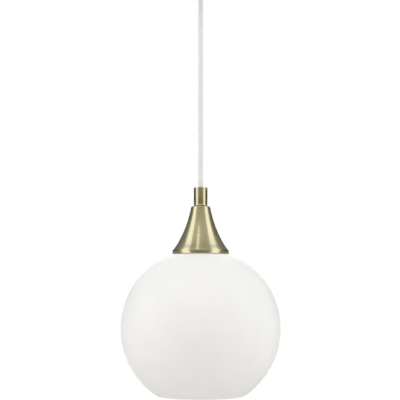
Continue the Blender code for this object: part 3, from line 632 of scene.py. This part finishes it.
make_skirt()
make_ring()
make_washer("upper_washer", "lamp", 0.0240, RING_BORE_R - 0.0002, SEAT_Z + CLEAR, SHOULDER_LOW - CLEAR)
make_washer("lower_washer", "shade", 0.0252, RING_BORE_R, RING_HIGH + CLEAR, UNDER_SEAT_Z - CLEAR)

# ---------------------------------------------------------------- bulb
NECK_Z = 0.0765
NECK_R = 0.0128
WIDE_Z = 0.0245
WIDE_R = 0.0300
BULB_WALL = 0.0010
BULB_BOTTOM_Z = WIDE_Z - WIDE_R
BULB_STEPS = 36
CREST_R, ROOT_R, E27_PITCH = 0.0131, 0.0122, 0.0036
SCREW_CAP_TOP = 0.0972


def bulb_radius(t):
    """From the neck at t = 0 to the widest place at t = 1."""
    return NECK_R + (WIDE_R - NECK_R) * (0.5 - 0.5 * math.cos(math.pi * t ** 1.25))


def make_envelope():
    """The bulb's glass: a smooth neck into a half ball, hollow inside."""
    outer = [(bulb_radius(i / BULB_STEPS), NECK_Z + (WIDE_Z - NECK_Z) * i / BULB_STEPS)
             for i in range(BULB_STEPS + 1)]
    inner = [(r - BULB_WALL, z) for r, z in outer]
    outer += arc(0.0, WIDE_Z, WIDE_R, 0.0, -90.0, 30)[1:-1] + [(0.0, BULB_BOTTOM_Z)]
    inner += arc(0.0, WIDE_Z, WIDE_R - BULB_WALL, 0.0, -90.0, 30)[1:-1]
    inner += [(0.0, BULB_BOTTOM_Z + BULB_WALL)]
    envelope = add_mesh("bulb_envelope_blown", turned(outer + inner[::-1], 96, lift=GLOBE_Z),
                        BULB_OPAL, 60.0)
    fit(envelope, "bulb", "bulb_glass", "bulb_envelope")


def make_bulb_cap():
    """Rolled screw cap, black glass insulator and domed contact tip."""
    low, high = NECK_Z + 0.0022, SCREW_CAP_TOP - 0.0012
    profile = rounded(
        [(ROOT_R - 0.0010, SCREW_CAP_TOP, 0.0004), (ROOT_R, SCREW_CAP_TOP - 0.0008, 0.0004)]
        + ladder(ROOT_R, high, low, E27_PITCH / 12)
        + [(ROOT_R + 0.0004, NECK_Z + 0.0012), (CREST_R, NECK_Z + CLEAR), (0.0123, NECK_Z + CLEAR),
           (0.0116, NECK_Z + 0.0020), (0.0110, SCREW_CAP_TOP - 0.0006)])
    ripple = thread(ROOT_R, CREST_R, E27_PITCH, low, high)
    screw_cap = add_mesh("bulb_screw_cap_rolled", turned(profile, 96, ripple, lift=GLOBE_Z), ALUMINIUM, 50.0)
    fit(screw_cap, "bulb", "cap_aluminium", "bulb_screw_cap")
    profile = rounded([(0.0, 0.1010), (0.0052, 0.1010, 0.0012), (0.0100, 0.0980, 0.0010),
                       (0.0108, 0.0964, 0.0003), (0.0, 0.0964)])
    insulator = add_mesh("bulb_insulator_glazed", turned(profile, 64, lift=GLOBE_Z), VITRITE, 40.0)
    fit(insulator, "bulb", "black_glass", "bulb_insulator")
    profile = rounded([(0.0, 0.1026), (0.0026, 0.1024, 0.0010), (0.0044, 0.1013, 0.0002), (0.0, 0.1013)])
    tip = add_mesh("bulb_contact_tip_domed", turned(profile, 48, lift=GLOBE_Z), BRIGHT_BRASS, 40.0)
    fit(tip, "bulb", "contact_brass", "bulb_contact_tip")


make_envelope()
make_bulb_cap()

# ---------------------------------------------------------------- ceiling end
CUP_R, CUP_DEPTH, CUP_SHOULDER_R, CUP_WALL = 0.0500, 0.0380, 0.0140, 0.0010
CUP_RIM_Z = -0.0004
SIDE_SCREW_Z = -0.0090
OUTLET_R, OUTLET_Z, OUTLET_SCREW_Z = 0.0060, -0.0520, -0.0450
SPIGOT_TOP_Z = -0.0280
STRAP_HALF, STRAP_WIDTH, STRAP_THICK, STRAP_DROP = 0.0470, 0.0200, 0.0020, 0.0160
SLOT_X, SLOT_HALF, SLOT_R = 0.030, 0.004, 0.0025
FIXING_SCREW_X, EARTH_SCREW_X = 0.0045, -0.0195
WIRE_R, WIRE_TWIST_R, WIRE_STEP = 0.00095, 0.00145, 0.0006
WIRE_START_Z, WIRE_HOLE_Z = -0.0257, -0.0085
BOTH_SIDES = (-1, 1)


def make_cup():
    """Spun cup with a generous shoulder, a hole below and two at its sides."""
    flat_r, bend_z = CUP_R - CUP_SHOULDER_R, -CUP_DEPTH + CUP_SHOULDER_R
    profile = rounded(
        [(CUP_R - 0.0001, CUP_RIM_Z, 0.0003)] + arc(flat_r, bend_z, CUP_SHOULDER_R, 0.0, -90.0, 22)
        + [(THREAD_HOLE_R, -CUP_DEPTH, 0.0002), (THREAD_HOLE_R, -CUP_DEPTH + CUP_WALL, 0.0002)]
        + arc(flat_r, bend_z, CUP_SHOULDER_R - CUP_WALL, -90.0, 0.0, 18)
        + [(CUP_R - CUP_WALL, CUP_RIM_Z, 0.0002)])
    cup = add_mesh("ceiling_cup_spun", turned(profile, 192), BRASS, 45.0)
    cut(cup, [placed(pin(0.0023, 0.0, 0.0060), (side, 0, 0), (side * 0.0470, 0, SIDE_SCREW_Z))
              for side in BOTH_SIDES], 45.0)
    fit(cup, "root", "antique_brass", "ceiling_cup")


def make_outlet():
    """Turned outlet under the cup, with a threaded spigot above and a grub screw's hole behind."""
    profile = rounded([
        (CORD_R + CLEAR, SPIGOT_TOP_Z, 0.0003), (THREAD_R, SPIGOT_TOP_Z, 0.0004), (THREAD_R, -0.0383),
        (OUTLET_R, -0.0383, 0.0003), (OUTLET_R, OUTLET_Z + 0.0002, 0.0013),
        (CORD_R + CLEAR, OUTLET_Z, 0.0004)], 6)
    outlet = add_mesh("cord_grip_turned", turned(profile, 96), BRASS, 32.0)
    cut(outlet, [placed(pin(GRUB_HOLE_R, 0.0, 0.0075, 24), (0, 1, 0), (0, 0.0005, OUTLET_SCREW_Z))])
    fit(outlet, "root", "antique_brass", "cord_grip")


def slotted_screw(name, body, slot, head_r, head_h, shank_r, shank_l, direction, place):
    """A screw with a domed, slotted head, in place of the plainer CAD one."""
    profile = rounded([
        (0.0, -head_h), (0.50 * head_r, -head_h, 0.4 * head_h),
        (0.92 * head_r, -0.62 * head_h, 0.3 * head_h), (head_r, 0.0, 0.12 * head_h),
        (shank_r, 0.0), (shank_r, shank_l - 0.3 * shank_r), (0.7 * shank_r, shank_l), (0.0, shank_l)])
    screw = add_mesh(name + "_driven", placed(turned(profile, 48), direction, place), SLOTS[slot], 35.0)
    groove = placed(block(1.2 * head_r, 0.11 * head_r, -1.5 * head_h, -0.6 * head_h), direction, place)
    fit(cut(screw, [groove], 35.0), body, slot, name)


def grub_screw(name, body, slot, radius, length, direction, place):
    """A headless screw with a slot in its outer end."""
    profile = rounded([(0.0, 0.0), (radius, 0.0, 0.2 * radius), (radius, length - 0.35 * radius),
                       (0.65 * radius, length), (0.0, length)])
    screw = add_mesh(name + "_driven", placed(turned(profile, 32), direction, place), SLOTS[slot], 35.0)
    groove = placed(block(1.2 * radius, 0.2 * radius, -0.5 * radius, 0.45 * radius), direction, place)
    fit(cut(screw, [groove], 35.0), body, slot, name)


def make_screws():
    for name, side in (("cup_screw_left", -1), ("cup_screw_right", 1)):
        slotted_screw(name, "root", "antique_brass", 0.0042, 0.0026, 0.0017, 0.0085, (-side, 0, 0),
                      (side * (CUP_R + CLEAR), 0, SIDE_SCREW_Z))
    slotted_screw("bracket_earth_screw", "root", "contact_brass", 0.0036, 0.0022, 0.0017, 0.0030, (0, 0, 1),
                  (EARTH_SCREW_X, 0, -0.0036))
    grub_screw("cord_grip_screw", "root", "antique_brass", 0.0014, 0.0024, (0, -1, 0),
               (0, OUTLET_R - 0.0003, OUTLET_SCREW_Z))
    grub_screw("collar_screw", "lamp", "antique_brass", 0.0014, 0.0048, (0, -1, 0),
               (0, COLLAR_R - 0.0004, GLOBE_Z + COLLAR_SCREW))


def make_wire(node, slot, knots):
    """A core drawn smoothly through the CAD core's own knots."""
    wire = tube_mesh(node + "_drawn", spline(knots, WIRE_STEP), WIRE_R, SLOTS[slot], 20)
    fit(wire, "root", slot, node)


def make_wires():
    """The cord's three cores in the cup, up to the terminal block, and the strap's earth lead."""
    for pole, x, slot, turn in (("live", -0.009, "core_brown", 210.0),
                                ("neutral", 0.009, "core_blue", 330.0),
                                ("earth", 0.0, "core_green", 90.0)):
        start_x = WIRE_TWIST_R * math.cos(math.radians(turn))
        start_y = WIRE_TWIST_R * math.sin(math.radians(turn))
        loop = (start_x, -0.0070, -0.0165) if pole == "earth" else (0.45 * x + start_x, -0.0085, -0.0195)
        make_wire("upper_core_" + pole, slot, [
            (start_x, start_y, WIRE_START_Z), (start_x, start_y, WIRE_START_Z + 0.0027), loop,
            (0.85 * x, -0.0150, -0.0155), (x, -0.0165, -0.0110), (x, -0.0125, WIRE_HOLE_Z),
            (x, -0.0085, WIRE_HOLE_Z), (x, -0.0030, WIRE_HOLE_Z)])
    make_wire("bracket_earth_lead", "core_green", [
        (0.0, 0.0035, WIRE_HOLE_Z), (0.0, 0.0100, WIRE_HOLE_Z), (-0.0040, 0.0145, -0.0080),
        (-0.0120, 0.0150, -0.0060), (-0.0190, 0.0115, -0.0045), (-0.0205, 0.0070, -0.0036),
        (-0.0205, 0.0040, -0.0033)])


def make_strap():
    """Pressed steel strap with turned-down ends, two slots and four screw holes."""
    inside = STRAP_HALF - STRAP_THICK
    line = rounded([
        (-STRAP_HALF, 0.0, 0.0024), (STRAP_HALF, 0.0, 0.0024), (STRAP_HALF, -STRAP_DROP, 0.0003),
        (inside, -STRAP_DROP, 0.0003), (inside, -STRAP_THICK, 0.0010), (-inside, -STRAP_THICK, 0.0010),
        (-inside, -STRAP_DROP, 0.0003), (-STRAP_HALF, -STRAP_DROP, 0.0003)], 6)
    strap_builder = prism(*([(x, y, z) for x, z in line] for y in (-STRAP_WIDTH / 2, STRAP_WIDTH / 2)))
    strap = add_mesh("ceiling_bracket_pressed", strap_builder, STEEL, 30.0)
    holes = [placed(pin(0.00205, 0.0, 0.0100), (side, 0, 0), (side * 0.0400, 0, SIDE_SCREW_Z))
             for side in BOTH_SIDES]
    holes += [placed(pin(radius, -0.0040, 0.0020), (0, 0, 1), (x, 0, 0))
              for radius, x in ((0.0017, FIXING_SCREW_X), (0.0020, EARTH_SCREW_X))]
    for side in BOTH_SIDES:
        line = arc(side * SLOT_X + SLOT_HALF, 0.0, SLOT_R, -90.0, 90.0, 16)
        line += arc(side * SLOT_X - SLOT_HALF, 0.0, SLOT_R, 90.0, 270.0, 16)
        holes.append(prism(*([(x, y, z) for x, y in line] for z in (-0.004, 0.002))))
    cut(strap, holes, 30.0)
    edge = strap.modifiers.new("edge", "BEVEL")
    edge.width = 0.00025
    edge.segments = 2
    edge.limit_method = "ANGLE"
    edge.angle_limit = math.radians(50)
    fit(strap, "root", "plated_steel", "ceiling_bracket")


make_cup()
make_outlet()
make_screws()
make_wires()
make_strap()

# ---------------------------------------------------------------- stage
FLOOR_Z = -2.4
FLOOR_R = 8.0
FLOOR_THICK = 0.01
LIT_Z = GLOBE_Z + 0.12              # the cap's middle, where the lights point
BOX_RADIANCE = 1.80
BOX_TINT = (1.0, 0.997, 0.985)
STRIP_RADIANCE = 2.0
STRIP_TINT = (1.0, 0.93, 0.68)

# The room's colours. The fill lights rough surfaces, and the mirrored ones show in the brass.
WHITE = (1.0, 1.0, 1.0)
FILL_LEVEL, FILL_TOP = (0.46, 0.46, 0.457), (0.72, 0.72, 0.71)
FILL_BELOW, FILL_LOW_FRONT = (0.51, 0.495, 0.48), (0.77, 0.765, 0.755)
SIDES_LEVEL, SIDES_TOP = (0.038, 0.038, 0.034), (0.46, 0.46, 0.44)
FRONT_LEVEL, FRONT_HIGH = (0.21, 0.21, 0.185), (0.82, 0.82, 0.76)
BELOW_HORIZON = (0.37, 0.36, 0.33)
HORIZON_HIGH, HORIZON_LOW = 0.075, 0.030

scene = bpy.context.scene
scene.view_settings.view_transform = "Standard"
scene.view_settings.look = "None"
scene.view_settings.exposure = 0.0
scene.view_settings.gamma = 1.0


def make_floor():
    paper = material("floor_paper", (0.880, 0.868, 0.850), (0.900, 0.888, 0.870), (0.75, 0.85), mottle=3.0,
                     grain=400.0, Specular_IOR_Level=0.2)
    add_mesh("floor", pin(FLOOR_R, 0.0, -FLOOR_THICK, 128, lift=FLOOR_Z), paper)


def soft_box(name, low, high, width, radiance, tint):
    """A long soft light from low to high, both measured from the cap, that faces the cap."""
    low, high = Vector(low), Vector(high)
    data = bpy.data.lights.new(name, "AREA")
    data.shape = "RECTANGLE"
    data.size = width
    data.size_y = (high - low).length
    data.energy = radiance * math.pi * width * data.size_y
    data.color = tint
    light = bpy.data.objects.new(name, data)
    middle = (low + high) / 2
    long_axis = (high - low).normalized()
    facing = (middle - middle.dot(long_axis) * long_axis).normalized()
    turn = Matrix((long_axis.cross(facing), long_axis, facing)).transposed()
    light.matrix_world = Matrix.Translation(middle + Vector((0, 0, LIT_Z))) @ turn.to_4x4()
    light.visible_camera = False
    scene.collection.objects.link(light)


def make_lights():
    for name, side in (("box_right", 1.0), ("box_left", -1.0)):
        soft_box(name, (side * 1.5, -1.13, -0.80), (side * 1.5, 0.06, 2.20), 1.05, BOX_RADIANCE, BOX_TINT)
    soft_box("box_behind", (0.0, 1.8, -0.60), (0.0, 1.6, 1.90), 1.15, BOX_RADIANCE, BOX_TINT)
    soft_box("strip_overhead", (-0.27, -1.00, 1.05), (-0.24, -0.46, 1.57), 0.17, STRIP_RADIANCE, STRIP_TINT)


def make_room():
    """A white backdrop to the camera, soft fill for the light, and darker sides in the reflections."""
    room = bpy.data.worlds.new("studio")
    room.use_nodes = True
    scene.world = room
    tree = room.node_tree
    direction = tree.nodes.new("ShaderNodeSeparateXYZ")
    tree.links.new(tree.nodes.new("ShaderNodeTexCoord").outputs["Generated"], direction.inputs[0])
    rise, front = direction.outputs[2], math_node(tree, "MULTIPLY", direction.outputs[1], -1.0)
    up = map_node(tree, rise, 0.0, 1.0)

    fill = mix_node(tree, up, FILL_LEVEL, FILL_TOP)
    fill = mix_node(tree, map_node(tree, rise, 0.0, -0.35, smooth=True), fill, FILL_BELOW)
    low_front = math_node(tree, "SUBTRACT", front, math_node(tree, "MULTIPLY", rise, 0.25))
    fill = mix_node(tree, map_node(tree, low_front, 0.45, 1.05, smooth=True), fill, FILL_LOW_FRONT)

    seen_sides = mix_node(tree, up, SIDES_LEVEL, SIDES_TOP)
    seen_front = mix_node(tree, map_node(tree, rise, 0.0, 0.75), FRONT_LEVEL, FRONT_HIGH)
    mirrored = mix_node(tree, map_node(tree, front, -0.1, 0.75, smooth=True), seen_sides, seen_front)
    horizon = map_node(tree, rise, HORIZON_HIGH, HORIZON_LOW, smooth=True)
    mirrored = mix_node(tree, horizon, mirrored, BELOW_HORIZON)

    ray = tree.nodes.new("ShaderNodeLightPath")
    shown = mix_node(tree, ray.outputs["Is Glossy Ray"], fill, mirrored)
    shown = mix_node(tree, ray.outputs["Is Camera Ray"], shown, WHITE)
    tree.links.new(shown, tree.nodes["Background"].inputs["Color"])


make_floor()
make_lights()
make_room()

# ---------------------------------------------------------------- CAD nodes that stay
slot_of = {part["node"]: part["material_slot"] for part in frame["record"]["subparts"]}
for node, piece in frame["nodes"].items():
    piece.data.materials.clear()
    piece.data.materials.append(SLOTS[slot_of[node]])
